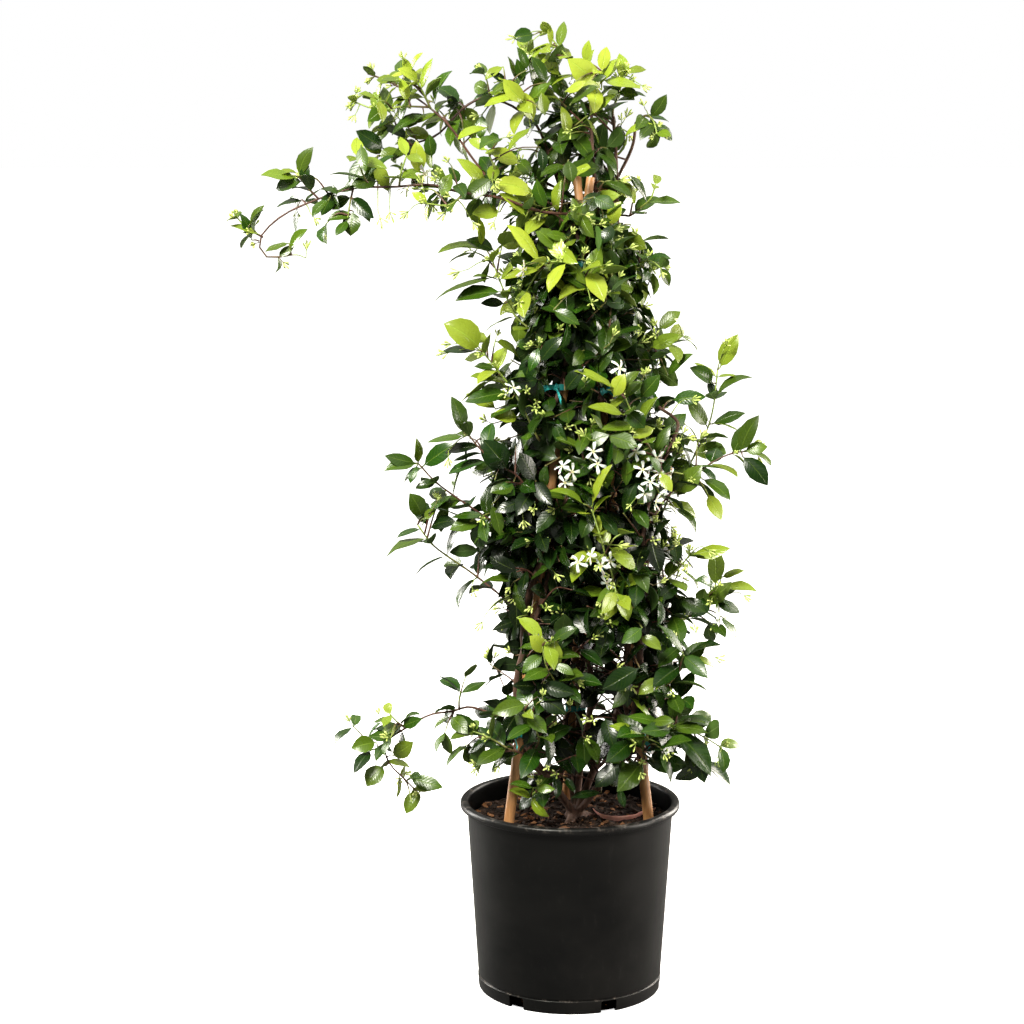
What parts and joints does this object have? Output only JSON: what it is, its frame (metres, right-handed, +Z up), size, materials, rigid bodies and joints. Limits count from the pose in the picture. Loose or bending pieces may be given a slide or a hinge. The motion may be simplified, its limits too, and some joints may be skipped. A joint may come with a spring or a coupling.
{
  "type": "potted star jasmine",
  "caption": "Evergreen climber with opposite leaves, pale buds and small pinwheel flowers, trained up tied canes in a round black nursery pot.",
  "frame": {"origin": "centre of the pot's underside", "axes": "+Z up along the pot's axis, -Y towards the front of the plant, +X to the right of the front"},
  "size_m": [0.7113, 0.3006, 1.3146],
  "materials": {
    "pot": "black blow-moulded polyethylene with a slight sheen and fine scuffs",
    "soil": "composted bark mix, dark brown with a few orange-brown chips",
    "cane": "dry bamboo cane, orange-tan with darker streaks",
    "bark": "rough dark brown bark",
    "leaf": "glossy evergreen leaf, dark green when old and yellow-green when young",
    "petal": "soft white petal with a cream throat",
    "tie": "soft teal tying tape",
    "strap": "faded salmon-pink plastic strap, bare"
  },
  "bodies": {
    "root": {"pot": "pot", "soil": "soil", "cane_left": "cane", "cane_right": "cane", "cane_back": "cane", "woody_stems": "bark", "label_strap": "strap", "tie_top": "tie", "tie_middle_left": "tie", "tie_middle_right": "tie", "tie_low_left": "tie", "tie_low_right": "tie", "tie_low_back": "tie", "bloom_1": "petal", "bloom_2": "petal", "bloom_3": "petal", "bloom_4": "petal", "bloom_5": "petal", "bloom_6": "petal", "bloom_7": "petal", "arm_left": "leaf", "arm_high": "leaf", "arm_loop": "leaf", "top_tip": "leaf", "top_middle": "leaf", "top_right": "leaf", "top_hook": "leaf", "upper_left": "leaf", "upper_front": "leaf", "middle_left": "leaf", "dark_left": "leaf", "far_left": "leaf", "lower_left": "leaf", "arm_low": "leaf", "skirt_left": "leaf", "skirt_pot": "leaf", "upper_right": "leaf", "top_shoulder": "leaf", "shoulder_right": "leaf", "reach_up": "leaf", "reach_far": "leaf", "front_right": "leaf", "middle_right": "leaf", "low_right": "leaf", "bottom_right": "leaf", "skirt_right": "leaf", "skirt_front": "leaf", "front_bright": "leaf", "front_left": "leaf", "front_low": "leaf", "bloom_front": "leaf", "climber_1": "leaf", "climber_2": "leaf", "climber_3": "leaf", "climber_4": "leaf", "climber_5": "leaf", "climber_6": "leaf", "climber_7": "leaf", "climber_8": "leaf", "climber_9": "leaf"}
  },
  "joints": []
}
